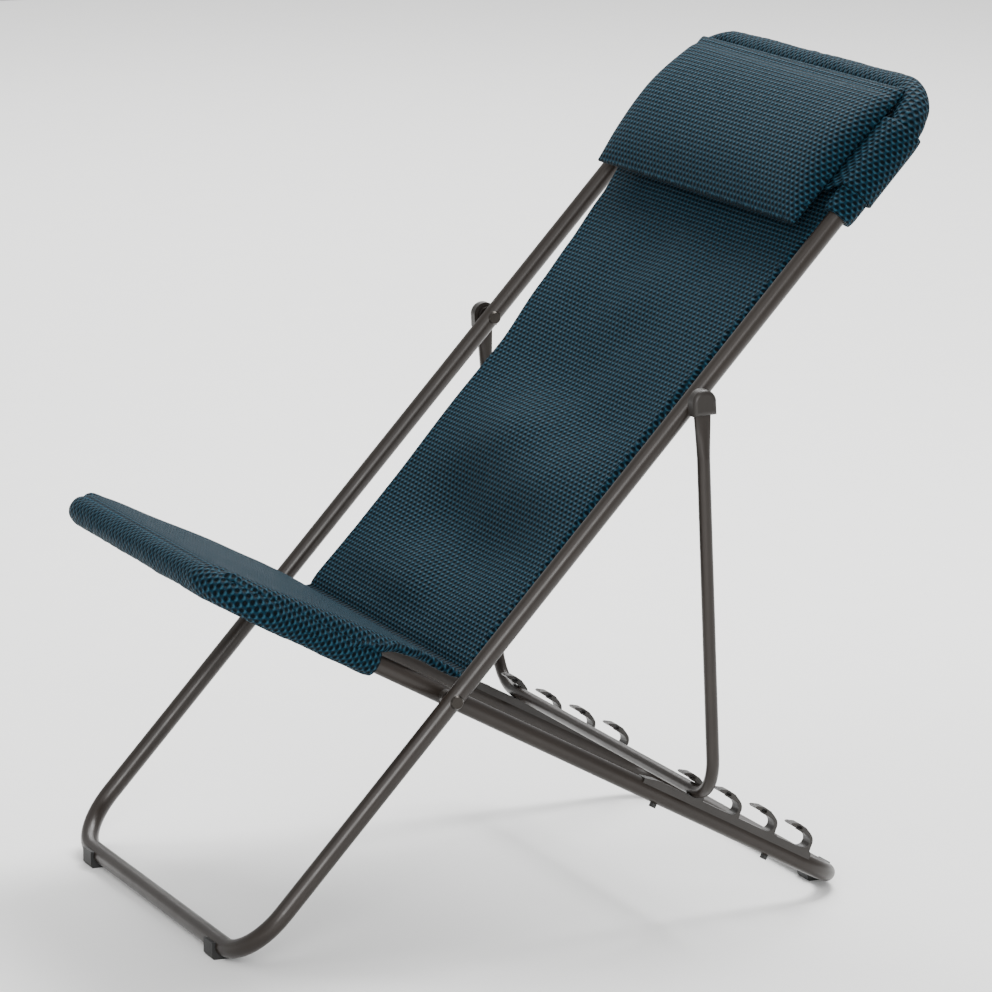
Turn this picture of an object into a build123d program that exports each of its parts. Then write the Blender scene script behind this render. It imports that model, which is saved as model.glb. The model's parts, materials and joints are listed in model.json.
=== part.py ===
from build123d import *
from math import cos, radians, sin
import os

# Folding beach chair. Millimetres, +Z up, the sitter faces -Y and +X is the sitter's left.
# Three bodies share two cross axes: the back frame stands on its bottom bar, the seat frame
# stands on its rear bar and pins to the back frame, and a U-shaped stay hangs from the back
# frame and rests its cross bar in the seat frame's racks.

# Tubes
TUBE_R = 10.0
TUBE_BORE_R = 8.9
STAY_R = 7.0
STAY_BORE_R = 5.9
SPIGOT_R = 8.7
SPIGOT_BORE_R = 7.5
SPIGOT_LENGTH = 60.0

# Back frame: a closed loop that leans back from its bottom bar
BAR_HEIGHT = 14.0
FRONT_BAR_Y = -383.4
BACK_LEAN = 47.66
BACK_HALF_WIDTH = 268.0
BACK_LENGTH = 1156.0
BACK_BEND = 62.0
BACK_JOINT = 1030.0

# Seat frame: a closed loop that rises to the front from its rear bar
SEAT_RISE = 28.37
SEAT_HALF_WIDTH = 238.0
SEAT_LENGTH = 814.0
SEAT_BEND = 60.0
SEAT_JOINT = 700.0
REAR_BAR_Y = FRONT_BAR_Y + 704.5

# Pivots, measured along the back rails from the bottom bar
PIVOT_ALONG = 345.0
PIVOT_ON_SEAT = 536.6
STAY_PIVOT_ALONG = 749.4

# Stay: two legs and a cross bar that lies in the first hook
STAY_HALF_WIDTH = 289.0
STAY_BEND = 46.0
STAY_FLAT = 6.0
STAY_FLAT_WIDTH = 18.0
STAY_TAPER = 50.0
STAY_EYE = 11.0
BAR_ALONG = 217.7
BAR_RISE = 21.4

# Racks: moulded saddles with four hooks that point forward
HOOKS = 4
HOOK_PITCH = 48.4
HOOK_CAVITY_R = 7.4
HOOK_WALL = 3.6
RACK_WIDTH = 17.0
RACK_REAR = 57.0
RACK_FRONT = 281.0
RACK_SCREWS = (104.0, 254.0)
RACK_SKIRT = 4.0
RACK_TOE = 16.0
RACK_TOE_HEIGHT = 0.8
RACK_HEEL = 3.0
HOOK_ROOT = 1.5
HOOK_MOUTH = 1.2
HOOK_BEAK = [(-4, -0.5), (4, 3.2), (13, 4.4), (22, 1.9), (23.5, 0), (21, -1.2)]
HOOK_EYE_AT = (12.0, 0.6)
HOOK_EYE = (7.5, 3.2)

# Caps over the stay's pressed ends
CAP_LENGTH = 27.0
CAP_WIDTH = 27.0
CAP_DEPTH = 15.0
CAP_DOME = 5.0
CAP_SKIRT = 14.0
CAP_REACH = 1.5

# Feet
FOOT_WIDTH = 26.0
FOOT_DEPTH = 27.0
FOOT_LIP = 5.0
FOOT_CHAMFER = (2.0, 3.0)
FOOT_WRAP = 2.5
FRONT_FOOT_X = 192.0
REAR_FOOT_X = 164.0

# Pins and small hardware
PIN_R = 4.0
PIN_HOLE_R = 4.02
PIN_RUNNING_R = 4.08
PIN_HEAD_R = 7.5
PIN_HEAD = 2.4
SCREW_R = 2.0
SCREW_HOLE_R = 2.1
SCREW_HEAD_R = 3.6
NUT_R = 4.4
NUT_HEIGHT = 4.5
SCREW_TAIL = 13.5
SCREW_HEAD = 1.6
SCREW_SINK = 1.2
BUSH_R = 8.0
WASHER_R = 9.0

# Gaps: parts that are held together, parts that turn, and the butt joint of two tubes
HELD_GAP = 0.1
TURN_GAP = 0.3
BUTT_GAP = 0.2

# Padded fabric
SLEEVE_R = 17.0
SLEEVE_GAP = 0.4
PAD = 10.0
HEAD_SLEEVE_END = 994.0
SEAT_SLEEVE_END = 624.0
CREASE_ALONG = 383.0
CREASE_OUT = -9.0
PANEL_TOP_OUT = 3.0
PANEL_TOP = 1133.0
PANEL_HALF = [(CREASE_ALONG, 217), (640, 211), (864, 232), (985, 242)]
PANEL_CORNER = 62.0
SEAT_CREASE_ALONG = 521.0
SEAT_CREASE_UP = 31.0
SEAT_FRONT_UP = 21.0
SEAT_PANEL_HALF = 219.0
SEAT_PANEL_CORNER = 52.0
SEAT_PANEL_GAP = 1.0
PILLOW_LOW = 962.0
PILLOW_HEIGHT = 170.0
PILLOW_HALF = 250.0
PILLOW_BACK = 18.0
PILLOW_THICK = 38.0
PILLOW_EDGE = 6.0
PILLOW_CHAMFER = 5.0
BAND_FROM = 1034.0
BAND_LENGTH = 58.0
BAND_R = 19.5

back_dir = Vector(0, cos(radians(BACK_LEAN)), sin(radians(BACK_LEAN)))
back_out = Vector(0, -sin(radians(BACK_LEAN)), cos(radians(BACK_LEAN)))
seat_dir = Vector(0, -cos(radians(SEAT_RISE)), sin(radians(SEAT_RISE)))
seat_up = Vector(0, sin(radians(SEAT_RISE)), cos(radians(SEAT_RISE)))
bottom_bar = Vector(0, FRONT_BAR_Y, BAR_HEIGHT)
rear_bar = Vector(0, REAR_BAR_Y, BAR_HEIGHT)


def on_back(along, out=0.0, x=0.0):
    """Point at a distance along the back rails, and in front of their plane."""
    return bottom_bar + back_dir * along + back_out * out + Vector(x, 0, 0)


def on_seat(along, up=0.0, x=0.0):
    """Point at a distance along the seat rails, and above their plane."""
    return rear_bar + seat_dir * along + seat_up * up + Vector(x, 0, 0)


back_plane = Plane(origin=on_back(0), x_dir=(1, 0, 0), z_dir=back_out)
seat_plane = Plane(origin=on_seat(0), x_dir=(-1, 0, 0), z_dir=seat_up)
pivot = on_back(PIVOT_ALONG)
stay_pivot = on_back(STAY_PIVOT_ALONG)
stay_bar = on_seat(BAR_ALONG, BAR_RISE)
stay_length = (stay_bar - stay_pivot).length
stay_dir = (stay_bar - stay_pivot).normalized()
stay_normal = Vector(1, 0, 0).cross(stay_dir)
stay_plane = Plane(origin=stay_pivot, x_dir=(1, 0, 0), z_dir=stay_normal)


def across(point, x):
    """Plane through a point at the given X, facing +X."""
    return Plane(origin=(x, point.Y, point.Z), x_dir=(0, 1, 0), z_dir=(1, 0, 0))


def bent_tube(plane, points, bend, radius, bore, pins=(), screws=()):
    """Round tube bent along points in a plane, with cross holes and screw holes."""
    with BuildPart() as tube:
        with BuildLine(plane) as run:
            FilletPolyline(*points, radius=bend)
        with BuildSketch(Plane(origin=run.line @ 0, z_dir=run.line % 0)):
            Circle(radius)
            Circle(bore, mode=Mode.SUBTRACT)
        sweep()
        for point, hole_radius in pins:
            with BuildSketch(across(point, 0)):
                Circle(hole_radius)
            extrude(amount=2 * BACK_HALF_WIDTH, both=True, mode=Mode.SUBTRACT)
        for point, hole_radius in screws:
            with BuildSketch(Plane(origin=point, z_dir=seat_up)):
                Circle(hole_radius)
            extrude(amount=2 * TUBE_R, both=True, mode=Mode.SUBTRACT)
    return tube


def straight_ring(start, direction, length, radius, bore):
    """Straight round tube from a point along a direction."""
    with BuildPart() as ring:
        with BuildSketch(Plane(origin=start, z_dir=direction)):
            Circle(radius)
            Circle(bore, mode=Mode.SUBTRACT)
        extrude(amount=length)
    return ring


def pin(point, inner_x, outer_x, side, radius=PIN_R):
    """Rivet along X between two faces, with a low domed head at each end."""
    with BuildPart() as rivet:
        with BuildSketch(across(point, side * inner_x)):
            Circle(radius)
        extrude(amount=side * (outer_x - inner_x))
        with BuildSketch(across(point, side * outer_x)):
            Circle(PIN_HEAD_R)
        extrude(amount=side * PIN_HEAD, taper=30)
        with BuildSketch(across(point, side * inner_x)):
            Circle(PIN_HEAD_R)
        extrude(amount=-side * PIN_HEAD, taper=30)
    return rivet


def disc(point, inner_x, outer_x, side, radius, hole_radius):
    """Washer or spacer bush along X."""
    with BuildPart() as washer:
        with BuildSketch(across(point, side * inner_x)):
            Circle(radius)
            Circle(hole_radius, mode=Mode.SUBTRACT)
        extrude(amount=side * (outer_x - inner_x))
    return washer


def save(builder, name):
    """Label a finished piece and write its STEP file."""
    builder.part.label = name
    export_step(builder.part, f"parts/{name}.step")


os.makedirs("parts", exist_ok=True)
sides = {"left": 1, "right": -1}

# --- back frame: lower and upper bends, joined by spigots inside the rails ---------------

back_pins = [(pivot, PIN_HOLE_R), (stay_pivot, PIN_HOLE_R)]
back_tube_lower = bent_tube(
    back_plane,
    [
        (-BACK_HALF_WIDTH, BACK_JOINT),
        (-BACK_HALF_WIDTH, 0),
        (BACK_HALF_WIDTH, 0),
        (BACK_HALF_WIDTH, BACK_JOINT),
    ],
    BACK_BEND,
    TUBE_R,
    TUBE_BORE_R,
    pins=back_pins,
)
save(back_tube_lower, "back_tube_lower")

back_tube_head = bent_tube(
    back_plane,
    [
        (-BACK_HALF_WIDTH, BACK_JOINT + BUTT_GAP),
        (-BACK_HALF_WIDTH, BACK_LENGTH),
        (BACK_HALF_WIDTH, BACK_LENGTH),
        (BACK_HALF_WIDTH, BACK_JOINT + BUTT_GAP),
    ],
    BACK_BEND,
    TUBE_R,
    TUBE_BORE_R,
)
save(back_tube_head, "back_tube_head")

for name, side in sides.items():
    spigot = straight_ring(
        on_back(BACK_JOINT - SPIGOT_LENGTH / 2, 0, side * BACK_HALF_WIDTH),
        back_dir,
        SPIGOT_LENGTH,
        SPIGOT_R,
        SPIGOT_BORE_R,
    )
    save(spigot, f"back_spigot_{name}")

# --- seat frame: rear and front bends, joined by spigots inside the pocket ---------------

seat_tube_rear = bent_tube(
    seat_plane,
    [
        (-SEAT_HALF_WIDTH, SEAT_JOINT),
        (-SEAT_HALF_WIDTH, 0),
        (SEAT_HALF_WIDTH, 0),
        (SEAT_HALF_WIDTH, SEAT_JOINT),
    ],
    SEAT_BEND,
    TUBE_R,
    TUBE_BORE_R,
    pins=[(pivot, PIN_RUNNING_R)],
    screws=[
        (on_seat(along, 0, side * SEAT_HALF_WIDTH), SCREW_HOLE_R)
        for along in RACK_SCREWS
        for side in (1, -1)
    ],
)
save(seat_tube_rear, "seat_tube_rear")

seat_tube_front = bent_tube(
    seat_plane,
    [
        (-SEAT_HALF_WIDTH, SEAT_JOINT + BUTT_GAP),
        (-SEAT_HALF_WIDTH, SEAT_LENGTH),
        (SEAT_HALF_WIDTH, SEAT_LENGTH),
        (SEAT_HALF_WIDTH, SEAT_JOINT + BUTT_GAP),
    ],
    SEAT_BEND,
    TUBE_R,
    TUBE_BORE_R,
)
save(seat_tube_front, "seat_tube_front")

for name, side in sides.items():
    spigot = straight_ring(
        on_seat(SEAT_JOINT - SPIGOT_LENGTH / 2, 0, side * SEAT_HALF_WIDTH),
        seat_dir,
        SPIGOT_LENGTH,
        SPIGOT_R,
        SPIGOT_BORE_R,
    )
    save(spigot, f"seat_spigot_{name}")

# --- pivot pins, spacer bushes and washers -----------------------------------------------

rail_out = BACK_HALF_WIDTH + TUBE_R + HELD_GAP
rail_in = BACK_HALF_WIDTH - TUBE_R - HELD_GAP
seat_out = SEAT_HALF_WIDTH + TUBE_R + TURN_GAP
seat_in = SEAT_HALF_WIDTH - TUBE_R - TURN_GAP
leg_in = STAY_HALF_WIDTH - STAY_FLAT / 2
leg_out = STAY_HALF_WIDTH + STAY_FLAT / 2

for name, side in sides.items():
    pivot_rivet = pin(pivot, seat_in, rail_out, side)
    save(pivot_rivet, f"pivot_rivet_{name}")
    bush = disc(pivot, seat_out, rail_in, side, BUSH_R, PIN_RUNNING_R)
    save(bush, f"pivot_bush_{name}")
    stay_rivet = pin(stay_pivot, rail_in, leg_out + TURN_GAP, side)
    save(stay_rivet, f"stay_rivet_{name}")
    washer = disc(stay_pivot, rail_out, leg_in - TURN_GAP, side, WASHER_R, PIN_RUNNING_R)
    save(washer, f"stay_washer_{name}")

# --- stay: one bent tube whose two ends are pressed flat around the pivot pins -----------

round_from = STAY_TAPER + STAY_EYE

with BuildPart() as stay_tube:
    with BuildLine(stay_plane) as stay_run:
        FilletPolyline(
            (-STAY_HALF_WIDTH, round_from),
            (-STAY_HALF_WIDTH, stay_length),
            (STAY_HALF_WIDTH, stay_length),
            (STAY_HALF_WIDTH, round_from),
            radius=STAY_BEND,
        )
    with BuildSketch(Plane(origin=stay_run.line @ 0, z_dir=stay_run.line % 0)):
        Circle(STAY_R)
        Circle(STAY_BORE_R, mode=Mode.SUBTRACT)
    sweep()
    for side in (1, -1):
        leg_x = Vector(side * STAY_HALF_WIDTH, 0, 0)
        round_end = stay_pivot + stay_dir * round_from + leg_x
        flat_end = stay_pivot + stay_dir * STAY_EYE + leg_x
        with BuildSketch(Plane(origin=round_end, x_dir=(1, 0, 0), z_dir=stay_dir)):
            Circle(STAY_R)
        with BuildSketch(Plane(origin=flat_end, x_dir=(1, 0, 0), z_dir=stay_dir)):
            RectangleRounded(STAY_FLAT, STAY_FLAT_WIDTH, 1)
        loft()
        pad_at = Vector(side * leg_in, stay_pivot.Y, stay_pivot.Z)
        with BuildSketch(Plane(origin=pad_at, x_dir=stay_dir, z_dir=(1, 0, 0))):
            Circle(STAY_FLAT_WIDTH / 2)
            with Locations((STAY_EYE / 2, 0)):
                Rectangle(STAY_EYE, STAY_FLAT_WIDTH)
            Circle(PIN_RUNNING_R, mode=Mode.SUBTRACT)
        extrude(amount=side * STAY_FLAT)
save(stay_tube, "stay_tube")

cap_plane = Plane(origin=stay_pivot, x_dir=stay_dir, z_dir=(1, 0, 0))
cap_in = leg_in - CAP_REACH

for name, side in sides.items():
    with BuildPart() as stay_cap:
        with BuildSketch(cap_plane.offset(side * cap_in)):
            Circle(CAP_WIDTH / 2)
            with Locations((CAP_SKIRT / 2, 0)):
                Rectangle(CAP_SKIRT, CAP_WIDTH)
        extrude(amount=side * CAP_DEPTH)
        outer_face = stay_cap.faces().sort_by(Axis.X)[-1 if side > 0 else 0]
        fillet(outer_face.edges(), radius=CAP_DOME)
        with BuildSketch(cap_plane.offset(side * (cap_in - 1))):
            Circle(STAY_FLAT_WIDTH / 2 + TURN_GAP)
            with Locations((CAP_LENGTH / 2, 0)):
                Rectangle(CAP_LENGTH, STAY_FLAT_WIDTH + 2 * TURN_GAP)
        extrude(amount=side * (STAY_FLAT + 1 + CAP_REACH + TURN_GAP), mode=Mode.SUBTRACT)
        with BuildSketch(cap_plane.offset(side * cap_in)):
            Circle(PIN_HEAD_R + TURN_GAP)
        extrude(
            amount=side * (STAY_FLAT + CAP_REACH + PIN_HEAD + 2 * TURN_GAP),
            mode=Mode.SUBTRACT,
        )
    save(stay_cap, f"stay_cap_{name}")

# --- racks: hooks that open to the front, screwed down through the seat rails ------------


def rack(side):
    """Hooked saddle on one seat rail, drawn in the rail's own upright plane."""
    middle = side * SEAT_HALF_WIDTH
    upright = Plane(origin=on_seat(0, 0, middle), x_dir=seat_dir, z_dir=(-1, 0, 0))
    floor = BAR_RISE - HOOK_CAVITY_R
    hook_r = HOOK_CAVITY_R + HOOK_WALL
    with BuildPart() as saddle:
        with BuildSketch(upright):
            Polygon(
                (RACK_REAR, RACK_SKIRT),
                (RACK_FRONT, RACK_SKIRT),
                (RACK_FRONT, TUBE_R + RACK_TOE_HEIGHT),
                (RACK_FRONT - RACK_TOE, floor),
                (RACK_REAR + RACK_HEEL, floor),
                (RACK_REAR, floor - RACK_HEEL),
                align=None,
            )
            for i in range(HOOKS):
                seat = BAR_ALONG - i * HOOK_PITCH
                with Locations((seat, BAR_RISE)):
                    Circle(hook_r)
                    Polygon(
                        (-hook_r, 0),
                        (-hook_r - HOOK_ROOT, TUBE_R - BAR_RISE),
                        (2, TUBE_R - BAR_RISE),
                        (2, 0),
                        align=None,
                    )
                    beak = [(x, hook_r + y) for x, y in HOOK_BEAK]
                    Polygon((-2, HOOK_CAVITY_R + 1), *beak, align=None)
            for i in range(HOOKS):
                seat = BAR_ALONG - i * HOOK_PITCH
                with Locations((seat, BAR_RISE)):
                    Circle(HOOK_CAVITY_R, mode=Mode.SUBTRACT)
                    Polygon(
                        (0, -HOOK_CAVITY_R),
                        (hook_r + 1, -HOOK_CAVITY_R),
                        (hook_r + 1, HOOK_CAVITY_R + HOOK_MOUTH),
                        (0, HOOK_CAVITY_R),
                        align=None,
                        mode=Mode.SUBTRACT,
                    )
                eye_at = (seat + HOOK_EYE_AT[0], BAR_RISE + hook_r + HOOK_EYE_AT[1])
                with Locations(eye_at):
                    SlotOverall(*HOOK_EYE, mode=Mode.SUBTRACT)
        extrude(amount=RACK_WIDTH / 2, both=True)
        with BuildSketch(Plane(origin=on_seat(0, 0, middle), z_dir=seat_dir)):
            Circle(TUBE_R + HELD_GAP)
        extrude(amount=SEAT_JOINT, mode=Mode.SUBTRACT)
        for along in RACK_SCREWS:
            with BuildSketch(Plane(origin=on_seat(along, 0, middle), z_dir=seat_up)):
                Circle(SCREW_HOLE_R)
            extrude(amount=2 * BAR_RISE, mode=Mode.SUBTRACT)
            head_floor = floor - SCREW_SINK - HELD_GAP
            with BuildSketch(Plane(origin=on_seat(along, head_floor, middle), z_dir=seat_up)):
                Circle(SCREW_HEAD_R + HELD_GAP)
            extrude(amount=2 * BAR_RISE, mode=Mode.SUBTRACT)
    return saddle


for name, side in sides.items():
    save(rack(side), f"rack_{name}")

screw_points = [
    on_seat(along, 0, side * SEAT_HALF_WIDTH) for along in RACK_SCREWS for side in (1, -1)
]
screw_rise = BAR_RISE - HOOK_CAVITY_R - SCREW_SINK

with BuildPart() as rack_screws:
    for point in screw_points:
        with BuildSketch(Plane(origin=point - seat_up * SCREW_TAIL, z_dir=seat_up)):
            Circle(SCREW_R)
        extrude(amount=SCREW_TAIL + screw_rise)
        with BuildSketch(Plane(origin=point + seat_up * screw_rise, z_dir=seat_up)):
            Circle(SCREW_HEAD_R)
        extrude(amount=SCREW_HEAD, taper=20)
save(rack_screws, "rack_screws")

with BuildPart() as rack_nuts:
    for point in screw_points:
        under = point - seat_up * (TUBE_R + HELD_GAP)
        with BuildSketch(Plane(origin=under, z_dir=-seat_up)):
            RegularPolygon(NUT_R, 6)
            Circle(SCREW_HOLE_R, mode=Mode.SUBTRACT)
        extrude(amount=NUT_HEIGHT)
save(rack_nuts, "rack_nuts")

# --- feet: glides that clip under the two floor bars, just inboard of the bends ----------


def foot(bar_y, x, lip):
    """Glide with a flat base; lip is the side, along Y, whose wall stands higher."""
    half = FOOT_DEPTH / 2
    cut_in, cut_up = FOOT_CHAMFER
    with BuildPart() as glide:
        with BuildSketch(Plane(origin=(x, bar_y, 0), x_dir=(0, 1, 0), z_dir=(1, 0, 0))):
            Polygon(
                (cut_in - half, 0),
                (half - cut_in, 0),
                (half, cut_up),
                (half, BAR_HEIGHT + (FOOT_LIP if lip > 0 else 0)),
                (-half, BAR_HEIGHT + (FOOT_LIP if lip < 0 else 0)),
                (-half, cut_up),
                align=None,
            )
        extrude(amount=FOOT_WIDTH / 2, both=True)
        with BuildSketch(Plane(origin=(x, bar_y, BAR_HEIGHT), z_dir=(1, 0, 0))):
            Circle(TUBE_R + HELD_GAP)
        extrude(amount=FOOT_WIDTH, both=True, mode=Mode.SUBTRACT)
        with BuildSketch(Plane(origin=(x, bar_y, BAR_HEIGHT + FOOT_WRAP))):
            Rectangle(FOOT_WIDTH + 2, 2 * TUBE_R - FOOT_WRAP)
        extrude(amount=2 * TUBE_R, mode=Mode.SUBTRACT)
    return glide


for name, side in sides.items():
    front_foot = foot(FRONT_BAR_Y, side * FRONT_FOOT_X, -1)
    save(front_foot, f"front_foot_{name}")
    rear_foot = foot(REAR_BAR_Y, side * REAR_FOOT_X, 1)
    save(rear_foot, f"rear_foot_{name}")

# --- padded fabric: sleeves round the top and front bends, panels between them -----------

head_sleeve = bent_tube(
    back_plane,
    [
        (-BACK_HALF_WIDTH, HEAD_SLEEVE_END),
        (-BACK_HALF_WIDTH, BACK_LENGTH),
        (BACK_HALF_WIDTH, BACK_LENGTH),
        (BACK_HALF_WIDTH, HEAD_SLEEVE_END),
    ],
    BACK_BEND,
    SLEEVE_R,
    TUBE_R + SLEEVE_GAP,
)
save(head_sleeve, "head_sleeve")

seat_sleeve = bent_tube(
    seat_plane,
    [
        (-SEAT_HALF_WIDTH, SEAT_SLEEVE_END),
        (-SEAT_HALF_WIDTH, SEAT_LENGTH),
        (SEAT_HALF_WIDTH, SEAT_LENGTH),
        (SEAT_HALF_WIDTH, SEAT_SLEEVE_END),
    ],
    SEAT_BEND,
    SLEEVE_R,
    TUBE_R + SLEEVE_GAP,
)
save(seat_sleeve, "seat_pocket")

panel_rise = PANEL_TOP_OUT - CREASE_OUT
panel_run = PANEL_TOP - CREASE_ALONG
panel_dir = (back_dir * panel_run + back_out * panel_rise).normalized()
panel_plane = Plane(
    origin=on_back(CREASE_ALONG, CREASE_OUT),
    x_dir=(1, 0, 0),
    z_dir=Vector(1, 0, 0).cross(panel_dir),
)
with BuildPart() as back_panel:
    with BuildSketch(panel_plane):
        with BuildLine():
            right = Spline(*[(half, along - CREASE_ALONG) for along, half in PANEL_HALF])
            left = Spline(*[(-half, along - CREASE_ALONG) for along, half in PANEL_HALF])
            Line(left @ 0, right @ 0)
            FilletPolyline(
                right @ 1,
                (PANEL_HALF[-1][1], panel_run),
                (-PANEL_HALF[-1][1], panel_run),
                left @ 1,
                radius=PANEL_CORNER,
            )
        make_face()
    extrude(amount=-PAD)
save(back_panel, "back_panel")

seat_run = SEAT_LENGTH - SLEEVE_R - SEAT_PANEL_GAP - SEAT_CREASE_ALONG
seat_fall = SEAT_CREASE_UP - SEAT_FRONT_UP
slope_dir = (seat_dir * seat_run - seat_up * seat_fall).normalized()
with BuildPart() as seat_panel:
    with BuildSketch(
        Plane(
            origin=on_seat(SEAT_CREASE_ALONG, SEAT_CREASE_UP),
            x_dir=(-1, 0, 0),
            z_dir=Vector(-1, 0, 0).cross(slope_dir),
        )
    ) as seat_outline:
        with Locations((0, seat_run / 2)):
            Rectangle(2 * SEAT_PANEL_HALF, seat_run)
        fillet(seat_outline.vertices().group_by(Axis.Y)[-1], radius=SEAT_PANEL_CORNER)
    extrude(amount=-PAD)
save(seat_panel, "seat_panel")

pillow_plane = Plane(
    origin=on_back(PILLOW_LOW, PILLOW_BACK), x_dir=back_dir, z_dir=(1, 0, 0)
)
with BuildPart() as headrest_pillow:
    with BuildSketch(pillow_plane):
        with BuildLine():
            back_edge = Line((0, 0), (PILLOW_HEIGHT, 0))
            crown = ThreePointArc(
                (0, PILLOW_EDGE),
                (PILLOW_HEIGHT / 2, PILLOW_THICK),
                (PILLOW_HEIGHT, PILLOW_EDGE),
            )
            Line(back_edge @ 0, crown @ 0)
            Line(back_edge @ 1, crown @ 1)
        make_face()
    extrude(amount=PILLOW_HALF, both=True)
    chamfer(headrest_pillow.edges().filter_by(GeomType.CIRCLE), length=PILLOW_CHAMFER)
save(headrest_pillow, "headrest_pillow")

for name, side in sides.items():
    band = straight_ring(
        on_back(BAND_FROM, 0, side * BACK_HALF_WIDTH),
        back_dir,
        BAND_LENGTH,
        BAND_R,
        SLEEVE_R + BUTT_GAP,
    )
    save(band, f"headrest_band_{name}")
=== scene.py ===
import bpy
import json
import math
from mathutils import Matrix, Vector, noise


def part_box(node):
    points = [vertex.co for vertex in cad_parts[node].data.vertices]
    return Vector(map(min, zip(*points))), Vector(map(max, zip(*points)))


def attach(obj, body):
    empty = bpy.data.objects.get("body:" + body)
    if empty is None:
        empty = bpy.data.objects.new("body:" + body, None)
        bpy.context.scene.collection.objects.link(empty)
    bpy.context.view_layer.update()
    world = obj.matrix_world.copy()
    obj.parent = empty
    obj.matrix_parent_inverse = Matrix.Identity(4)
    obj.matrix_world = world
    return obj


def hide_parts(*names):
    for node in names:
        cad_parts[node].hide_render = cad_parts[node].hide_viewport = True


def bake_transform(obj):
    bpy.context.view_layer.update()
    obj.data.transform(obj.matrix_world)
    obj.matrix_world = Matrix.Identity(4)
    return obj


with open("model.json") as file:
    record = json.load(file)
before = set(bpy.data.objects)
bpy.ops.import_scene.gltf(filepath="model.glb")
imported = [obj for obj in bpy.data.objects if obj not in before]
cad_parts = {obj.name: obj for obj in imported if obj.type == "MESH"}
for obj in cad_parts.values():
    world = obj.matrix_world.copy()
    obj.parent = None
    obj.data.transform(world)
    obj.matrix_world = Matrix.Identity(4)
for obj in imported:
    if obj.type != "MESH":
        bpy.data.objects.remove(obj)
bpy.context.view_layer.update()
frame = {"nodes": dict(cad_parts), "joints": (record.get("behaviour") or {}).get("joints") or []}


# --- camera: a long lens, a little above the seat, on the sitter's left front -------------
# It stands about 6 m away, so the chair's rails run almost parallel, and it is shifted only
# as far as the framing needs.

AZIMUTH = math.radians(66.905)
ELEVATION = math.radians(12.07)
DISTANCE = 6.017
AIM = Vector((0, -0.0045, 0.3939))

camera_data = bpy.data.cameras.new("camera")
camera_data.lens = 201.0
camera_data.sensor_width = 36.0
camera_data.shift_x = 0.0143
camera_data.shift_y = 0.0257
camera_data.clip_end = 60
camera = bpy.data.objects.new("camera", camera_data)
toward = Vector((
    math.cos(ELEVATION) * math.sin(AZIMUTH),
    -math.cos(ELEVATION) * math.cos(AZIMUTH),
    math.sin(ELEVATION),
))
camera.location = AIM + toward * DISTANCE
camera.rotation_euler = (math.pi / 2 - ELEVATION, 0, AZIMUTH)
bpy.context.scene.collection.objects.link(camera)
bpy.context.scene.camera = camera


# --- back and seat frames: bent round steel tube with a baked powder coat -----------------
# Each frame is two U bends of 20 mm tube joined over spigots, then sprayed and baked. The
# coat is a warm dark brown-grey with a fine orange peel, a little lighter and smoother in
# small patches.

MM = 0.001


def colour(hex_code):
    """An sRGB hex colour as linear RGBA."""
    values = [int(hex_code[i : i + 2], 16) / 255 for i in (1, 3, 5)]
    linear = [v / 12.92 if v <= 0.04045 else ((v + 0.055) / 1.055) ** 2.4 for v in values]
    return (*linear, 1.0)


def new_material(name):
    """An empty node material and its shader."""
    material = bpy.data.materials.new(name)
    material.use_nodes = True
    shader = material.node_tree.nodes["Principled BSDF"]
    return material, shader


def add(material, kind, links=None, **settings):
    """Add a node, set its properties and sockets by name or index, and link its inputs."""
    node = material.node_tree.nodes.new(kind)
    for key, value in settings.items():
        if key.startswith("in_"):
            socket = key[3:]
            node.inputs[int(socket) if socket.isdigit() else socket].default_value = value
        else:
            setattr(node, key, value)
    for socket, source in (links or {}).items():
        material.node_tree.links.new(source, node.inputs[socket])
    return node


def drive(material, shader, socket, source):
    """Link an output to one of the shader's sockets."""
    material.node_tree.links.new(source, shader.inputs[socket])


DRIFT_MM = 111.1
RUB_MM = 29.4
RUB_NOISE = (0.52, 0.78)
RUB_SHARE = 0.55
GLOSS_NOISE = (0.3, 0.8)
DULLER = 0.05
GLOSSIER = 0.07
GRAIN_DEPTH_MM = 0.2


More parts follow.
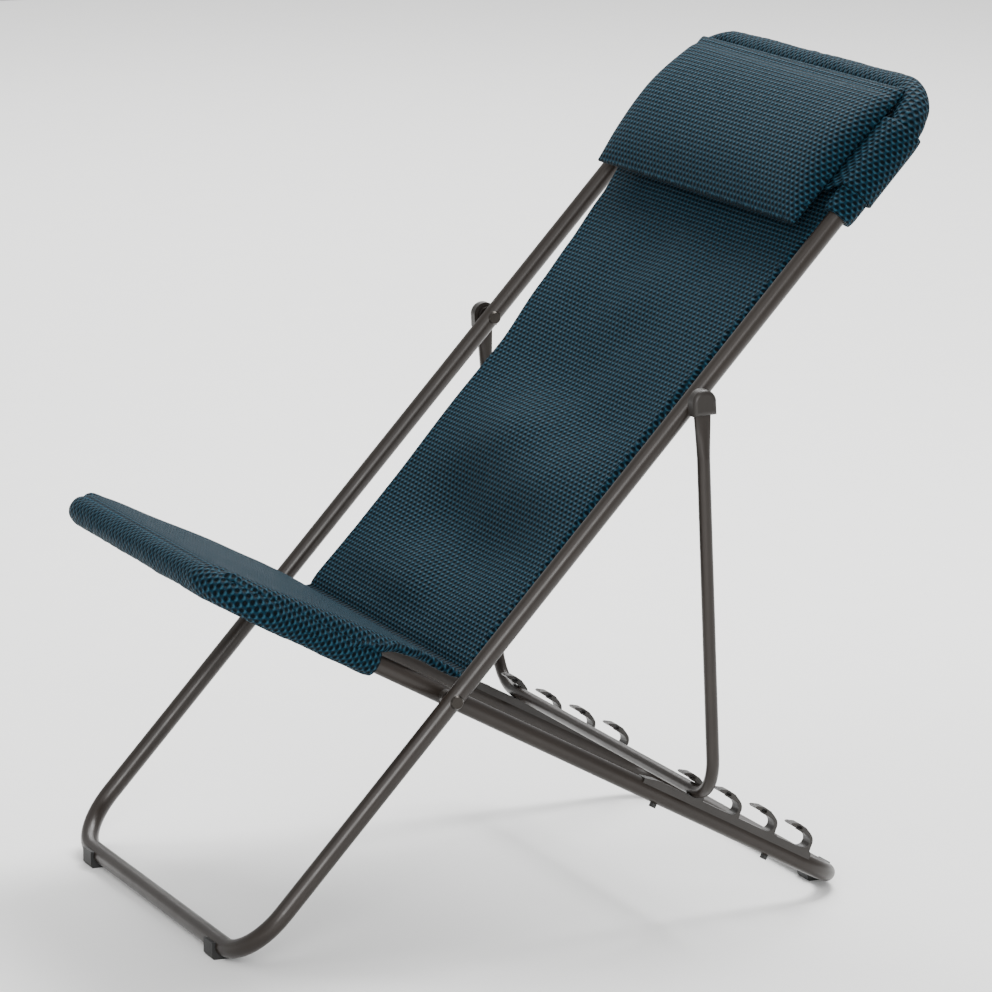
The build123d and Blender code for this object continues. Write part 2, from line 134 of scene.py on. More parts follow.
def fine_finish(name, base, worn, roughness, grain_mm, bump):
    """Coat or moulding: a fine grain, a faint drift of tone and slightly rubbed patches."""
    material, shader = new_material(name)
    place = add(material, "ShaderNodeTexCoord").outputs["Object"]
    drift = add(
        material,
        "ShaderNodeTexNoise",
        {"Vector": place},
        in_Scale=1000 / DRIFT_MM,
        in_Detail=3.0,
    )
    rub = add(
        material,
        "ShaderNodeTexNoise",
        {"Vector": place},
        in_Scale=1000 / RUB_MM,
        in_Detail=6.0,
    )
    patches = add(
        material,
        "ShaderNodeMapRange",
        {"Value": rub.outputs["Fac"]},
        in_1=RUB_NOISE[0],
        in_2=RUB_NOISE[1],
        in_3=0.0,
        in_4=RUB_SHARE,
    )
    tone = add(
        material,
        "ShaderNodeMix",
        {"Factor": drift.outputs["Fac"]},
        data_type="RGBA",
        in_6=colour(base),
        in_7=colour(worn),
    )
    rubbed = add(
        material,
        "ShaderNodeMix",
        {"Factor": patches.outputs["Result"], 6: tone.outputs[2]},
        data_type="RGBA",
        in_7=colour(worn),
    )
    drive(material, shader, "Base Color", rubbed.outputs[2])
    gloss = add(
        material,
        "ShaderNodeMapRange",
        {"Value": rub.outputs["Fac"]},
        in_1=GLOSS_NOISE[0],
        in_2=GLOSS_NOISE[1],
        in_3=roughness + DULLER,
        in_4=roughness - GLOSSIER,
    )
    drive(material, shader, "Roughness", gloss.outputs["Result"])
    grain = add(
        material,
        "ShaderNodeTexNoise",
        {"Vector": place},
        in_Scale=1000 / grain_mm,
        in_Detail=2.0,
    )
    relief = add(
        material,
        "ShaderNodeBump",
        {"Height": grain.outputs["Fac"]},
        in_Strength=bump,
        in_Distance=GRAIN_DEPTH_MM * MM,
    )
    drive(material, shader, "Normal", relief.outputs["Normal"])
    return material, shader


def dress(material, *names):
    """Give the named CAD nodes this material."""
    for name in names:
        node = frame["nodes"][name]
        node.data.materials.clear()
        node.data.materials.append(material)


# Satin powder coat: one soft bright line down each tube, broken by the peel, which is drawn
# a little coarse, at 1.6 mm, so that it shows.
coat, coat_shader = fine_finish("satin_powder_coat", "#1b1511", "#28221d", 0.36, 1.6, 0.35)
coat_shader.inputs["Metallic"].default_value = 0.1
coat_shader.inputs["Coat Weight"].default_value = 0.08
coat_shader.inputs["Specular IOR Level"].default_value = 0.38
coat_shader.inputs["Coat Roughness"].default_value = 0.3
dress(coat, "back_tube_lower", "back_tube_head", "seat_tube_rear", "seat_tube_front")


# --- stay: a thinner bent tube, its ends pressed flat, under two moulded caps -------------
# The tube has the frame's coat and turns on a rivet in each back rail. Each cap is a hollow
# moulding of glass-filled nylon, in the frame's colour, pushed over the pressed end.

dress(coat, "stay_tube")
# Glass-filled nylon from a spark-eroded mould: matt, with no sharp highlight.
nylon, nylon_shader = fine_finish("moulded_nylon", "#191512", "#25211d", 0.45, 0.7, 0.5)
nylon_shader.inputs["Specular IOR Level"].default_value = 0.38
dress(nylon, "stay_cap_left", "stay_cap_right")


# --- racks: moulded nylon hooks screwed down on the seat rails ----------------------------
# Each rack is one moulding with four open hooks that hold the stay's bar. The bushes that
# keep seat rails and back rails apart are turned from the same nylon.

# The caps' nylon from a smoother mould: a shade glossier along the hooks' rims.
rack_nylon = fine_finish("rack_nylon", "#191512", "#25211d", 0.42, 0.7, 0.5)[0]
dress(rack_nylon, "rack_left", "rack_right", "pivot_bush_left", "pivot_bush_right")


# --- glides and hardware: black rubber feet, black nuts, dark pins and screws ------------
# Four rubber glides are fixed under the two foot bars, and black nuts close the rack screws
# under the rails. Rivets, washers, spigots and screws are steel with a dark passivation.

# Moulded rubber: flat black with almost no highlight.
rubber = fine_finish("moulded_rubber", "#141414", "#1d1d1c", 0.62, 0.9, 0.6)[0]
dress(
    rubber,
    "front_foot_left",
    "front_foot_right",
    "rear_foot_left",
    "rear_foot_right",
    "rack_nuts",
)
# Dark passivated steel: a dull metal glint on heads and washers.
plate, plate_shader = fine_finish("dark_passivated_steel", "#2f2c29", "#403c38", 0.38, 1.2, 0.2)
plate_shader.inputs["Metallic"].default_value = 0.85
dress(
    plate,
    "rack_screws",
    *[f"{kind}_{side}" for side in ("left", "right") for kind in (
        "pivot_rivet",
        "stay_rivet",
        "stay_washer",
        "back_spigot",
        "seat_spigot",
    )],
)


# --- cover: one padded sling of honeycomb spacer mesh, with a sewn crease at the seat ------
# Two knitted faces held 10 mm apart, cut wider at the seat and at the head than across the
# back. It hangs between the two sleeves, and at the front it is folded down over the bend,
# with a gather at each corner.

# Sizes are in mm. Places along the back run up from the front foot bar, and places along
# the seat run forward from the rear foot bar.
PIVOT_ALONG = 345.0
PIVOT_ON_SEAT = 536.6
TUBE_R = 10.0
across = Vector((1, 0, 0))
joints = {joint["name"]: Vector(joint["pos_m"]) for joint in frame["joints"]}
pivot = joints["seat_pivot"]
back_dir = (joints["stay_pivot"] - pivot).normalized()
back_out = across.cross(back_dir)
tube_low, tube_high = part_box("seat_tube_rear")
rear_bar = Vector((0, tube_high[1] - TUBE_R * MM, tube_low[2] + TUBE_R * MM))
seat_dir = (pivot - rear_bar).normalized()
seat_up = seat_dir.cross(across)


def on_back(along, out=0.0, x=0.0):
    """Point in mm along the back rails, in front of their plane and across."""
    return pivot + (back_dir * (along - PIVOT_ALONG) + back_out * out + across * x) * MM


def on_seat(along, up=0.0, x=0.0):
    """Point in mm along the seat rails, above their plane and across."""
    return pivot + (seat_dir * (along - PIVOT_ON_SEAT) + seat_up * up + across * x) * MM


def at(points, value):
    """Smooth value between listed (position, value) pairs."""
    if value <= points[0][0]:
        return points[0][1]
    for (a, va), (b, vb) in zip(points, points[1:]):
        if value <= b:
            t = (value - a) / (b - a)
            t = t * t * (3 - 2 * t)
            return va + (vb - va) * t
    return points[-1][1]


def skin(name, rings, uvs, cap_ends=False):
    """Closed rings of points joined into one smooth skin with its UVs in metres."""
    count = len(rings[0])
    vertices = [point for ring in rings for point in ring]
    faces = []
    corners = []
    for i in range(len(rings) - 1):
        for j in range(count):
            k = (j + 1) % count
            faces.append((i * count + j, i * count + k, (i + 1) * count + k, (i + 1) * count + j))
            corners += [uvs[i][j], uvs[i][j + 1], uvs[i + 1][j + 1], uvs[i + 1][j]]
    if cap_ends:
        for i in (0, len(rings) - 1):
            for j in range(count // 2 - 1):
                ends = (j, j + 1, count - 2 - j, count - 1 - j)
                faces.append(tuple(i * count + e for e in ends))
                corners += [uvs[i][e] for e in ends]
    mesh = bpy.data.meshes.new(name)
    mesh.from_pydata(vertices, [], faces)
    layer = mesh.uv_layers.new(name="cloth")
    for loop, corner in enumerate(corners):
        layer.data[loop].uv = corner
    mesh.polygons.foreach_set("use_smooth", [True] * len(mesh.polygons))
    piece = bpy.data.objects.new(name, mesh)
    bpy.context.scene.collection.objects.link(piece)
    bpy.context.view_layer.objects.active = piece
    bpy.ops.object.mode_set(mode="EDIT")
    bpy.ops.mesh.select_all(action="SELECT")
    bpy.ops.mesh.normals_make_consistent(inside=False)
    bpy.ops.object.mode_set(mode="OBJECT")
    return piece


HOLE_ASPECT = 1.75
HOLE_RIM = (0.17, 0.45)
# The glint is a painted highlight: a paler crescent on the thread just below each hole, standing
# in for the light from above.
PAINTED_GLINT_BELOW = 0.23
PAINTED_GLINT_RIM = (0.12, 0.40)
PAINTED_GLINT_SHARE = 0.75
FILAMENTS = 5.0
RELIEF_MM = 2.0


def honeycomb(name, thread, painted_glint, deep, hole, pitch_mm, row_mm):
    """Spacer mesh: staggered holes darkened with painted shade, raised threads and a painted
    highlight below each hole.

    A cell is one pitch wide and two rows high, and the rims are shares of it. The filaments
    are drawn coarser than they are, so that they show.
    """
    material, shader = new_material(name)
    cloth = add(material, "ShaderNodeUVMap", uv_map="cloth").outputs["UV"]
    cells = add(
        material,
        "ShaderNodeVectorMath",
        {0: cloth},
        operation="MULTIPLY",
        in_1=(1000 / pitch_mm, 1000 / (2 * row_mm), 0),
    ).outputs["Vector"]
    holes = []
    painted_glint_reaches = []
    for shift in (0.0, 0.5):
        moved = add(
            material,
            "ShaderNodeVectorMath",
            {0: cells},
            operation="ADD",
            in_1=(shift, shift, 0),
        )
        inside = add(
            material, "ShaderNodeVectorMath", {0: moved.outputs["Vector"]}, operation="FRACTION"
        )
        for found, centre in ((holes, 0.5), (painted_glint_reaches, 0.5 - PAINTED_GLINT_BELOW)):
            centred = add(
                material,
                "ShaderNodeVectorMath",
                {0: inside.outputs["Vector"]},
                operation="SUBTRACT",
                in_1=(0.5, centre, 0),
            )
            stretched = add(
                material,
                "ShaderNodeVectorMath",
                {0: centred.outputs["Vector"]},
                operation="MULTIPLY",
                in_1=(1.0, HOLE_ASPECT, 0),
            )
            reach = add(
                material,
                "ShaderNodeVectorMath",
                {0: stretched.outputs["Vector"]},
                operation="LENGTH",
            )
            found.append(reach.outputs["Value"])
    nearest = add(
        material, "ShaderNodeMath", {0: holes[0], 1: holes[1]}, operation="MINIMUM"
    ).outputs["Value"]
    below = add(
        material, "ShaderNodeMath", {0: painted_glint_reaches[0], 1: painted_glint_reaches[1]}, operation="MINIMUM"
    ).outputs["Value"]
    rim = add(
        material,
        "ShaderNodeMapRange",
        {"Value": nearest},
        interpolation_type="SMOOTHSTEP",
        in_1=HOLE_RIM[0],
        in_2=HOLE_RIM[1],
    ).outputs["Result"]
    filament = add(
        material,
        "ShaderNodeTexNoise",
        {"Vector": cells},
        in_Scale=FILAMENTS,
        in_Detail=4.0,
        in_Roughness=0.7,
    ).outputs["Fac"]
    tone = add(
        material,
        "ShaderNodeMix",
        {"Factor": filament},
        data_type="RGBA",
        in_6=colour(deep),
        in_7=colour(thread),
    ).outputs[2]
    # Painted highlight: the thread just below each hole is mixed toward the glint colour.
    painted_glint_mask = add(
        material,
        "ShaderNodeMapRange",
        {"Value": below},
        interpolation_type="SMOOTHSTEP",
        in_1=PAINTED_GLINT_RIM[0],
        in_2=PAINTED_GLINT_RIM[1],
        in_3=PAINTED_GLINT_SHARE,
        in_4=0.0,
    ).outputs["Result"]
    with_painted_glint = add(
        material,
        "ShaderNodeMix",
        {"Factor": painted_glint_mask, 6: tone},
        data_type="RGBA",
        in_7=colour(painted_glint),
    ).outputs[2]
    # Painted shade: each hole is mixed to near-black, standing in for the shade down in the hole.
    shade = add(
        material,
        "ShaderNodeMix",
        {"Factor": rim, 7: with_painted_glint},
        data_type="RGBA",
        in_6=colour(hole),
    ).outputs[2]
    drive(material, shader, "Base Color", shade)
    threads = add(
        material, "ShaderNodeMath", {0: rim, 1: filament}, operation="MULTIPLY"
    )
    raised = add(
        material, "ShaderNodeMath", {0: rim, 1: threads.outputs["Value"]}, operation="ADD"
    )
    relief = add(
        material,
        "ShaderNodeBump",
        {"Height": raised.outputs["Value"]},
        in_Strength=1.0,
        in_Distance=RELIEF_MM * MM,
    )
    drive(material, shader, "Normal", relief.outputs["Normal"])
    shader.inputs["Roughness"].default_value = 0.62
    shader.inputs["Specular IOR Level"].default_value = 0.05
    shader.inputs["Sheen Weight"].default_value = 0.05
    shader.inputs["Sheen Roughness"].default_value = 0.45
    shader.inputs["Sheen Tint"].default_value = colour("#6f9dae")
    return material


# Honeycomb spacer mesh: holes in rows under dark teal threads, the holes near-black with painted
# shade, and a small painted highlight below each hole. It is matt, and at a low angle the rows
# close up to a plain grey-blue.
mesh_cloth = honeycomb(
    "honeycomb_spacer_mesh",
    thread="#102e3d",
    # colour of the painted highlight below each hole
    painted_glint="#2a4f60",
    deep="#051823",
    # near-black painted shade in the holes
    hole="#01070b",
    pitch_mm=8.5,
    row_mm=5.25,
)

PAD_HALF = 5.0
CREASE_ALONG = 380.0
CREASE_OUT = -9.0
CREASE_ON_SEAT = 519.0
CREASE_UP = 30.0
BACK_TOP = 1138.0
BACK_RAIL_X = 268.0
BACK_BEND = 62.0
BACK_LENGTH = 1156.0
BACK_SWELLS = [
    (380, 0),
    (430, 5),
    (520, -8.5),
    (628, 13),
    (722, -10),
    (850, 5),
    (950, 0),
]
BACK_SWELL = 7.0
SWELL_BOW = 14.0
SWELL_BOW_X = 110.0
BACK_SINK = 1.5
TAUT_X = 228.0
SLING_SLOPE = 0.0193
RAIL_CLEAR = 14.0
SEAT_EDGE_X = 254.0
SEAT_EDGE_FRONT = 829.0
SEAT_CORNER = 76.0
SEAT_TOP = 20.0
SEAT_BULGE = 4.0
SEAT_SWELL = 2.4
SEAT_HALF_WIDTHS = [(519, 229), (560, 231), (598, 243), (634, 252), (664, SEAT_EDGE_X)]
LIP_REACH = 34.0
LIP_LOW = 4.5
LIP_SQUARE = 3.2
GATHERS = [(50, 8, 3.8), (64, 6, -3.0)]
GATHER_REACH = 13.0
SIDE_HANG = 4.0
BACK_HALF_WIDTHS = [
    (380, 226),
    (440, 223),
    (560, 222),
    (640, 221),
    (725, 220),
    (808, 230),
    (864, 235),
    (930, 241),
    (990, 254),
]


def rail_x(along):
    """Centre of the back rail across, which turns inward at the head bend."""
    reach = max(0.0, along - (BACK_LENGTH - BACK_BEND))
    return BACK_RAIL_X - BACK_BEND + math.sqrt(BACK_BEND**2 - reach**2)


seat_length = SEAT_EDGE_FRONT - CREASE_ON_SEAT


def seat_top(along):
    """Height of the seat's upper face over the seat rails, higher at the crease."""
    t = (SEAT_EDGE_FRONT - along) / seat_length
    return SEAT_TOP + (CREASE_UP - SEAT_TOP) * t + SEAT_BULGE * math.sin(math.pi * t)


def seat_edge(x, along):
    """Distance in from the outline of the seat where it wraps the front bend."""
    side = SEAT_EDGE_X - abs(x)
    front = SEAT_EDGE_FRONT - along
    if side < SEAT_CORNER and front < SEAT_CORNER:
        return SEAT_CORNER - math.hypot(SEAT_CORNER - side, SEAT_CORNER - front)
    return min(side, front)


def cover_station(run):
    """Centre, normal and half width of the pad at a run in mm from the front."""
    if run < seat_length:
        along = SEAT_EDGE_FRONT - run
        half = at(SEAT_HALF_WIDTHS, along)
        reach = along - (SEAT_EDGE_FRONT - SEAT_CORNER)
        if reach > 0:
            half += math.sqrt(SEAT_CORNER**2 - reach**2) - SEAT_CORNER
        centre = on_seat(along, seat_top(along) - PAD_HALF)
        normal = seat_up
    else:
        along = CREASE_ALONG + run - seat_length
        out = CREASE_OUT + SLING_SLOPE * (along - CREASE_ALONG)
        half = min(at(BACK_HALF_WIDTHS, along), rail_x(along) - RAIL_CLEAR)
        centre = on_back(along, out - PAD_HALF)
        normal = back_out
        centre += across * SIDE_HANG * MM * at([(400, 0), (470, 1), (850, 1), (940, 0)], along)
    return centre, normal, half


def seat_waves(x, along):
    """Lift of the seat's face: swells, the lip over the front bend and its two gathers."""
    swell = noise.noise(Vector((x * 0.006, along * 0.011, 3.0))) * SEAT_SWELL
    swell *= at([(CREASE_ON_SEAT, 0), (580, 1), (760, 1), (810, 0)], along)
    edge = max(seat_edge(x, along) - PAD_HALF, 0.0)
    inward = max(0.0, 1 - edge / LIP_REACH)
    lip = (seat_top(along) - LIP_LOW) * (1 - (1 - inward**LIP_SQUARE) ** (1 / LIP_SQUARE))
    wrapped = at([(570, 0), (634, 1)], along)
    front = along - (SEAT_EDGE_FRONT - SEAT_CORNER)
    side = abs(x) - (SEAT_EDGE_X - SEAT_CORNER)
    gather = 0.0
    if front > 0 and side > 0:
        turn = math.degrees(math.atan2(front, side))
        for where, breadth, height in GATHERS:
            gather += height * math.exp(-(((turn - where) / breadth) ** 2))
        gather *= math.exp(-((edge / GATHER_REACH) ** 2))
    return swell - lip * wrapped + gather


def cover_waves(x, run):
    """Soft hollows and swells of the hung pad, in mm along its normal."""
    if run < seat_length:
        return seat_waves(x, SEAT_EDGE_FRONT - run)
    rise = run - seat_length
    bow = SWELL_BOW * math.sin(x / SWELL_BOW_X)
    band = at(BACK_SWELLS, CREASE_ALONG + rise + bow)
    swell = noise.noise(Vector((x * 0.008, rise * 0.012, 7.0))) * BACK_SWELL
    fade = at([(0, 0), (60, 1), (520, 0.8), (620, 0.2), (750, 0)], rise)
    taut = math.cos(min(abs(x) / TAUT_X, 1) * math.pi / 2)
    return (band + swell - BACK_SINK) * fade * taut


cover_end = seat_length + BACK_TOP - CREASE_ALONG


def ring_step(run):
    """Distance in mm to the next ring: short at both hems and in the crease."""
    if run < 8:
        return 1.0
    if run < 30 or abs(run - seat_length) < 24 or run > cover_end - 10:
        return 2.0
    return 3.0 if run < 90 else 6.0


cover_runs = [0.0]
while cover_runs[-1] < cover_end:
    cover_runs.append(cover_runs[-1] + ring_step(cover_runs[-1]))
cover_runs[-1] = cover_end

FLAT = 72
ROUND = 6
CREASE_SPREAD = 9.0
CREASE_PINCH = 0.45


def spread(j):
    """Position across from 1 to -1, closer together towards both edges."""
    even = 1 - 2 * j / FLAT
    return 0.45 * even + 0.55 * math.sin(math.pi / 2 * even)


rings = []
uvs = []
for run in cover_runs:
    centre, normal, half = cover_station(run)
    fold = math.exp(-(((run - seat_length) / CREASE_SPREAD) ** 2))
    if fold > 0.001:
        before = cover_station(seat_length - 0.01)[1]
        after = cover_station(seat_length + 0.01)[1]
        blend = at([(-10, 0), (10, 1)], run - seat_length)
        normal = (before * (1 - blend) + after * blend).normalized()
    ends = min(run, cover_end - run)
    thick = PAD_HALF * (1 - CREASE_PINCH * fold)
    if ends < PAD_HALF:
        thick *= math.sqrt(1 - (1 - ends / PAD_HALF) ** 2) + 0.02
    ring = []
    for face in (1, -1):
        for j in range(FLAT + 1):
            x = face * (half - thick) * spread(j)
            ring.append((x, cover_waves(x, run) + face * thick))
        x = -face * (half - thick)
        for j in range(1, ROUND):
            turn = math.pi * j / ROUND
            lift = cover_waves(x, run) + face * thick * math.cos(turn)
            ring.append((x - face * thick * math.sin(turn), lift))
    points = [centre + (across * x + normal * lift) * MM for x, lift in ring]
    arc = [0.0]
    for a, b in zip(ring, ring[1:] + ring[:1]):
        arc.append(arc[-1] + math.dist(a, b))
    middle = arc[FLAT // 2]
    rings.append(points)
    uvs.append([((s - middle) * MM, run * MM) for s in arc])

cover = skin("cover", rings, uvs)
cover.data.materials.append(mesh_cloth)
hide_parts("back_panel", "seat_panel")
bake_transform(cover)


# --- sleeves: the same padded mesh sewn round the front bend and round the head bend -------
# Each sleeve is a strip of the cover's pad closed to a tube on the bend, so that the sling
# can't slip off. Its open ends are hemmed, and draw in with small gathers on the rails.

SEAT_FRONT = 814.0
SEAT_BEND = 60.0
SEAT_RAIL_X = 238.0
POCKET_START = 624.0
POCKET_R = 16.4
HEAD_START = 994.0
HEAD_R = 17.5
PAD_BORE = 10.6
SLEEVE_TURNS = 40
SLEEVE_SWELL = 1.1
SLEEVE_PUCKER = 0.7
HEM_GATHER = 2.0
HEM_GATHER_RUN = 25.0
HEM_ROUND = 6.0
HEM_DROP = 1.2


def bend_path(start, length, half_width, bend, place, step=5.0):
    """Points along a U: up one rail from its start, round the bar and down the other rail."""
    flat = [(half_width, start)]
    corner = (half_width - bend, length - bend)
    turns = 18
    for i in range(turns + 1):
        turn = math.pi / 2 * i / turns
        flat.append((corner[0] + bend * math.cos(turn), corner[1] + bend * math.sin(turn)))
    flat += [(-x, y) for x, y in reversed(flat)]
    path = []
    for (x0, y0), (x1, y1) in zip(flat, flat[1:]):
        count = max(1, int(math.dist((x0, y0), (x1, y1)) / step))
        path += [(x0 + (x1 - x0) * i / count, y0 + (y1 - y0) * i / count) for i in range(count)]
    path.append(flat[-1])
    return [place(y, 0, x) for x, y in path]


def sleeve(name, path, normal, radius, seed):
    """A tube of pad round a path, with rounded ends, soft swells and gathers in the bends."""
    lengths = [0.0]
    for a, b in zip(path, path[1:]):
        lengths.append(lengths[-1] + (b - a).length / MM)
    total = lengths[-1]
    body = []
    for i, point in enumerate(path):
        ahead = path[min(i + 1, len(path) - 1)]
        behind = path[max(i - 1, 0)]
        body.append((point, (ahead - behind).normalized(), lengths[i], radius))
    lip = (PAD_BORE, PAD_BORE + 1.5, radius - 2.5)
    starts = [(*body[0][:3], r) for r in lip]
    closes = [(*body[-1][:3], r) for r in reversed(lip)]
    rings = []
    uvs = []
    for point, tangent, s, r in starts + body + closes:
        side = tangent.cross(normal)
        ends = min(s, total - s)
        soft = min(1.0, ends / HEM_ROUND)
        ring = []
        for j in range(SLEEVE_TURNS):
            turn = 2 * math.pi * j / SLEEVE_TURNS
            up, out = math.cos(turn), math.sin(turn)
            swell = noise.noise(Vector((s * 0.02, up * 1.3, out * 1.3 + seed))) * SLEEVE_SWELL
            pucker = noise.noise(Vector((s * 0.09, up * 0.8, seed + 9.0))) * SLEEVE_PUCKER
            folds = noise.noise(Vector((s * 0.04, turn * 1.4, seed + 17.0))) * HEM_GATHER
            folds *= math.exp(-ends / HEM_GATHER_RUN)
            grow = (swell + pucker + folds) * soft - (1 - soft) * HEM_DROP
            grow = 0.0 if r < radius else grow
            ring.append(point + (normal * up + side * out) * (r + grow) * MM)
        rings.append(ring)
        around = 2 * math.pi * radius * MM
        along = (s + radius - r) * MM
        uvs.append([(around * j / SLEEVE_TURNS, along) for j in range(SLEEVE_TURNS + 1)])
    piece = skin(name, rings, uvs)
    piece.data.materials.append(mesh_cloth)
    return piece


pocket_path = bend_path(POCKET_START, SEAT_FRONT, SEAT_RAIL_X, SEAT_BEND, on_seat)
pocket = sleeve("front_pocket", pocket_path, seat_up, POCKET_R, seed=1.0)
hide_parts("seat_pocket")
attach(pocket, "seat_frame")

head_path = bend_path(HEAD_START, BACK_LENGTH, BACK_RAIL_X, BACK_BEND, on_back)
head = sleeve("head_sleeve_pad", head_path, back_out, HEAD_R, seed=5.0)
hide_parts("head_sleeve")
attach(head, "back_frame")


# --- headrest pillow: a flat bolster of the same mesh, closed by a seam all round ----------
# It is filled, sewn up at every edge and stitched through just under its top edge, and held
# at both ends by a band that goes round the rail.

PILLOW_LOW = 960.0
PILLOW_HIGH = 1149.0
PILLOW_HALF = 250.0
PILLOW_SEAM_OUT = 26.0
PILLOW_TOP_OUT = 20.0
PILLOW_SWELL = 22.0
PILLOW_BACK_SHARE = 0.5
PILLOW_SEAM_HALF = 1.5
END_SQUARE = 12
STITCH_ROW = 0.93
STITCH_REACH = 0.02
STITCH_DEPTH = 2.4


def inflate(piece, held, pressure, frames, cap_mm):
    """Blow up a closed piece with its held vertices fixed and keep the solver's result."""
    before = [vertex.co.copy() for vertex in piece.data.vertices]
    seam_group = piece.vertex_groups.new(name="seam")
    seam_group.add(held, 1.0, "REPLACE")
    solver = piece.modifiers.new("cloth", "CLOTH")
    solver.settings.vertex_group_mass = "seam"
    solver.settings.quality = 6
    solver.settings.mass = 0.25
    solver.settings.tension_stiffness = 30
    solver.settings.compression_stiffness = 30
    solver.settings.shear_stiffness = 8
    solver.settings.bending_stiffness = 1.5
    solver.settings.use_pressure = True
    solver.settings.uniform_pressure_force = pressure
    solver.settings.effector_weights.gravity = 0.0
    for step in range(1, frames + 1):
        bpy.context.scene.frame_set(step)
    solved = piece.evaluated_get(bpy.context.evaluated_depsgraph_get())
    after = [vertex.co.copy() for vertex in solved.data.vertices]
    piece.modifiers.remove(solver)
    bpy.context.scene.frame_set(1)
    for vertex, old, new in zip(piece.data.vertices, before, after):
        move = new - old
        if move.length > cap_mm * MM:
            move *= cap_mm * MM / move.length
        vertex.co = old + move


def fullness(s):
    """How full the pillow is at s across: 1 in the middle, 0 at both end seams."""
    return (1 - abs(s) ** END_SQUARE) ** 0.5 if abs(s) < 1 else 0.0


columns, rows = 72, 40
pillow_rings = []
pillow_uvs = []
for i in range(rows + 1):
    t = i / rows
    along = PILLOW_LOW + (PILLOW_HIGH - PILLOW_LOW) * t
    swell = PILLOW_SWELL * math.sin(math.pi * t) ** 0.6
    seam = at([(0, PILLOW_SEAM_OUT), (0.5, PILLOW_SEAM_OUT), (1, PILLOW_TOP_OUT)], t)
    ring = []
    for face, share in ((1, 1.0), (-1, -PILLOW_BACK_SHARE)):
        for j in range(columns + 1):
            s = face * (1 - 2 * j / columns)
            out = seam + share * swell * fullness(s) + face * PILLOW_SEAM_HALF
            ring.append(on_back(along, out, PILLOW_HALF * s))
    arc = [0.0]
    for a, b in zip(ring, ring[1:] + ring[:1]):
        arc.append(arc[-1] + (b - a).length)
    pillow_rings.append(ring)
    pillow_uvs.append([(s - arc[columns // 2], along * MM) for s in arc])
pillow = skin("headrest_pillow_pad", pillow_rings, pillow_uvs, cap_ends=True)
around = 2 * (columns + 1)
held = []
for i in range(rows + 1):
    for j in range(around):
        column = j if j <= columns else around - 1 - j
        if i in (0, rows) or column in (0, columns):
            held.append(i * around + j)
inflate(pillow, held, pressure=4.0, frames=16, cap_mm=14.0)
for index, vertex in enumerate(pillow.data.vertices):
    row, j = divmod(index, around)
    if j <= columns:
        dent = STITCH_DEPTH * math.exp(-(((row / rows - STITCH_ROW) / STITCH_REACH) ** 2))
        vertex.co -= back_out * dent * MM
smooth = pillow.modifiers.new("smooth", "SUBSURF")
smooth.levels = 1
smooth.render_levels = 1
pillow.data.materials.append(mesh_cloth)
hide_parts("headrest_pillow")
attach(pillow, "back_frame")


# --- pillow bands: a strap of the same mesh from each pillow end round the sleeve ----------
# Each strap is sewn to the pillow's end, goes round the outside of the rail and back under
# it. It is one layer of the mesh with a plain cut edge.

BAND_LOW = 1024.0
BAND_HIGH = 1112.0
BAND_LEAN = 18.0
BAND_START_X = 240.0
BAND_START_OUT = 20.5
BAND_OUTER_R = 21.6
BAND_INNER_R = 19.0
BAND_FROM = 84.0
BAND_TURN = 216.0
BAND_RIPPLE = 0.7
BAND_PITCH = 3.6
BAND_STEPS = 16
BAND_FLAT = 6
BAND_ROUND = 24

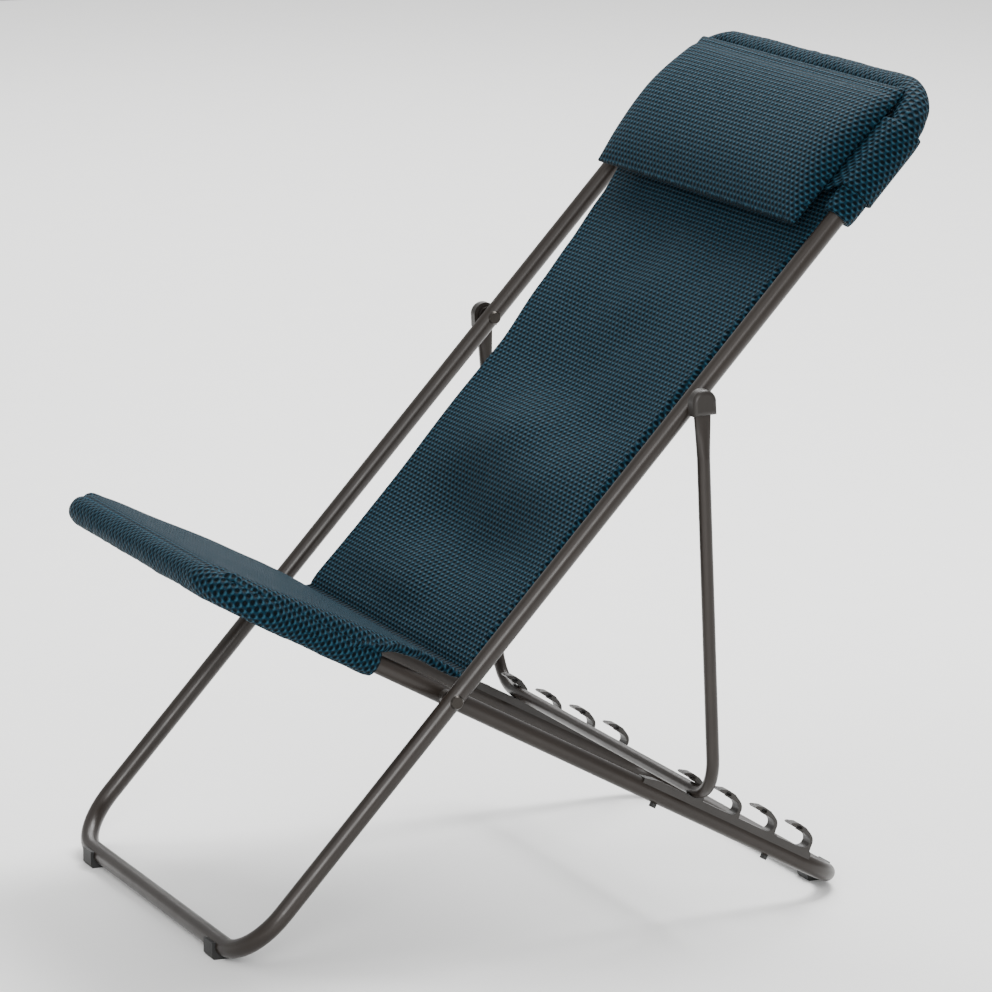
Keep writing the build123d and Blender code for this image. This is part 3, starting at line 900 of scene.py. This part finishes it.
for name, side in (("left", 1), ("right", -1)):
    rings = []
    uvs = []
    for i in range(BAND_STEPS + 1):
        along = BAND_LOW + (BAND_HIGH - BAND_LOW) * i / BAND_STEPS
        middle = rail_x(along)
        outer = []
        inner = []
        for j in range(BAND_FLAT + BAND_ROUND + 1):
            round_step = max(j - BAND_FLAT, 0)
            flat = max(BAND_FLAT - j, 0) / BAND_FLAT
            lean = BAND_LEAN * (1 - i / BAND_STEPS) * flat
            ripple = BAND_RIPPLE * noise.noise(Vector((along * 0.05, j * 0.35, side * 4.0)))
            ripple *= min(round_step / 4, 1)
            turn = math.radians(BAND_FROM - BAND_TURN * round_step / BAND_ROUND)
            for strip, r in ((outer, BAND_OUTER_R + ripple), (inner, BAND_INNER_R + ripple)):
                x = middle + r * math.cos(turn)
                out = r * math.sin(turn)
                x += (BAND_START_X - x) * flat
                out += (BAND_START_OUT - out) * flat
                strip.append((along - lean, out, side * x))
        rings.append([on_back(*place) for place in outer + inner[::-1]])
        arc = [j * BAND_PITCH * MM for j in range(BAND_FLAT + BAND_ROUND + 1)]
        uvs.append([(a, along * MM) for a in arc + arc[::-1] + [0.0]])
    band = skin(f"pillow_band_{name}", rings, uvs, cap_ends=True)
    band.data.materials.append(mesh_cloth)
    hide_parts(f"headrest_band_{name}")
    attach(band, "back_frame")


# --- floor and studio light: white paper under four soft boxes -------------------------------
# A high key behind the head, a weak fill in front, a side box along the near rails and a
# wide one that only brightens the paper behind.

FLOOR_HALF = 8
PAPER_GRAIN_MM = 5.56

floor_mesh = bpy.data.meshes.new("floor")
floor_corners = [
    (x * FLOOR_HALF, y * FLOOR_HALF, 0) for x, y in ((-1, -1), (1, -1), (1, 1), (-1, 1))
]
floor_mesh.from_pydata(floor_corners, [], [(0, 1, 2, 3)])
floor = bpy.data.objects.new("floor", floor_mesh)
bpy.context.scene.collection.objects.link(floor)
# Matt white paper: an even pale ground that takes a soft shadow.
paper, paper_shader = new_material("studio_paper")
grain = add(paper, "ShaderNodeTexNoise", in_Scale=1000 / PAPER_GRAIN_MM, in_Detail=3.0)
faint = add(
    paper,
    "ShaderNodeMix",
    {"Factor": grain.outputs["Fac"]},
    data_type="RGBA",
    in_6=colour("#f8f8f7"),
    in_7=colour("#fbfbfa"),
)
drive(paper, paper_shader, "Base Color", faint.outputs[2])
paper_shader.inputs["Roughness"].default_value = 0.9
floor.data.materials.append(paper)


def soft_light(name, place, size, power, aim=(0, 0, 0.45)):
    """A square soft box that faces a point on the chair."""
    data = bpy.data.lights.new(name, "AREA")
    data.size = size
    data.energy = power
    lamp = bpy.data.objects.new(name, data)
    lamp.location = place
    lamp.rotation_euler = (Vector(aim) - Vector(place)).to_track_quat("-Z", "Y").to_euler()
    bpy.context.scene.collection.objects.link(lamp)


soft_light("key", (-0.9, 1.3, 3.4), 1.6, 175)
soft_light("fill", (1.6, -2.8, 3.0), 2.4, 30)
soft_light("side", (3.4, -1.6, 1.6), 1.4, 110)
soft_light("backdrop", (-4.5, 2.0, 4.0), 4.0, 330, aim=(-4.5, 2.0, 0))
world = bpy.data.worlds.new("studio")
world.use_nodes = True
world.node_tree.nodes["Background"].inputs["Color"].default_value = colour("#ffffff")
world.node_tree.nodes["Background"].inputs["Strength"].default_value = 0.72
bpy.context.scene.world = world
